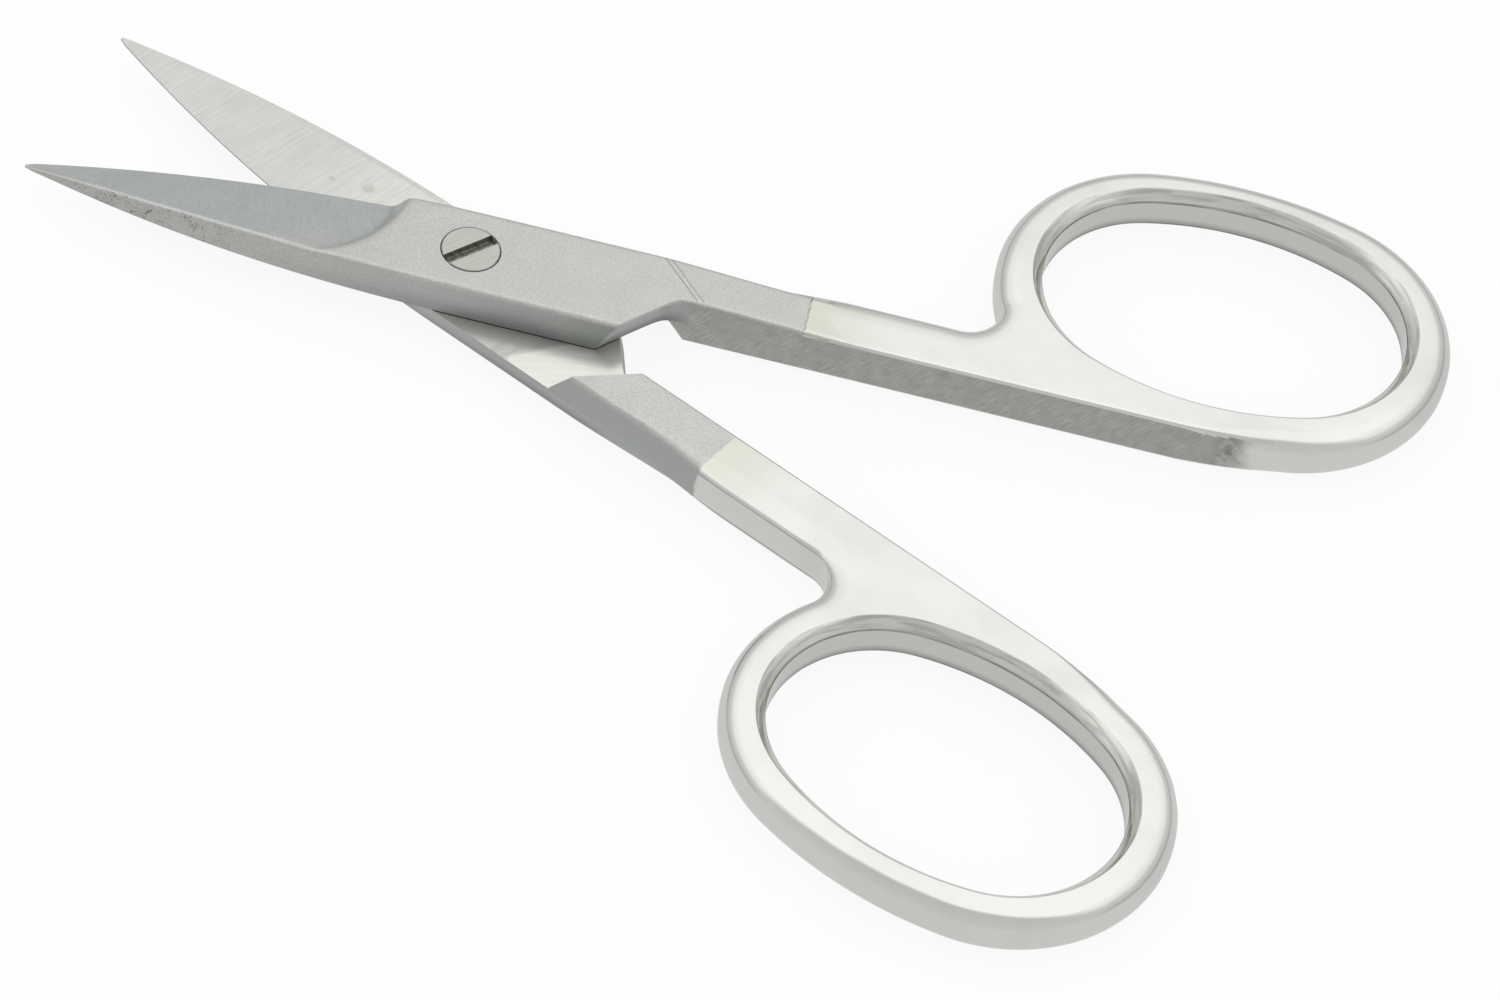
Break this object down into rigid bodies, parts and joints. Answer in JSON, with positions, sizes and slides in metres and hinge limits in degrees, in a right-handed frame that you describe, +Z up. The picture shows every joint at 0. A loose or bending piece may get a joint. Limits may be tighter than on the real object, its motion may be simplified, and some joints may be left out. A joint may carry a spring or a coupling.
{
  "type": "cuticle scissors",
  "caption": "Small straight-bladed cuticle scissors with pointed ground blades, oval finger rings and a slotted pivot screw, resting half open.",
  "frame": {"origin": "on the pivot screw's axis, at the underside of the lower half's pivot plate", "axes": "+Z up along the pivot axis, out of the slotted head; -X towards the tips, +X towards the finger rings, along the line that halves the opening; +Y towards the upper half's ring"},
  "size_m": [0.0854, 0.0658, 0.0042],
  "materials": {
    "blade_steel": "bead-blasted pivot plate and front shank, satin ground blades, mirror-polished rings",
    "screw_steel": "fine satin turned head"
  },
  "bodies": {
    "lower": {"lower_half": "blade_steel", "pivot_screw": "screw_steel"},
    "upper": {"upper_half": "blade_steel"}
  },
  "joints": [
    {"name": "blade_pivot", "type": "hinge", "parent": "lower", "child": "upper", "pos_m": [0, 0, 0.0021], "axis": [0, 0, 1], "range_deg": [-26.3, 110]}
  ]
}
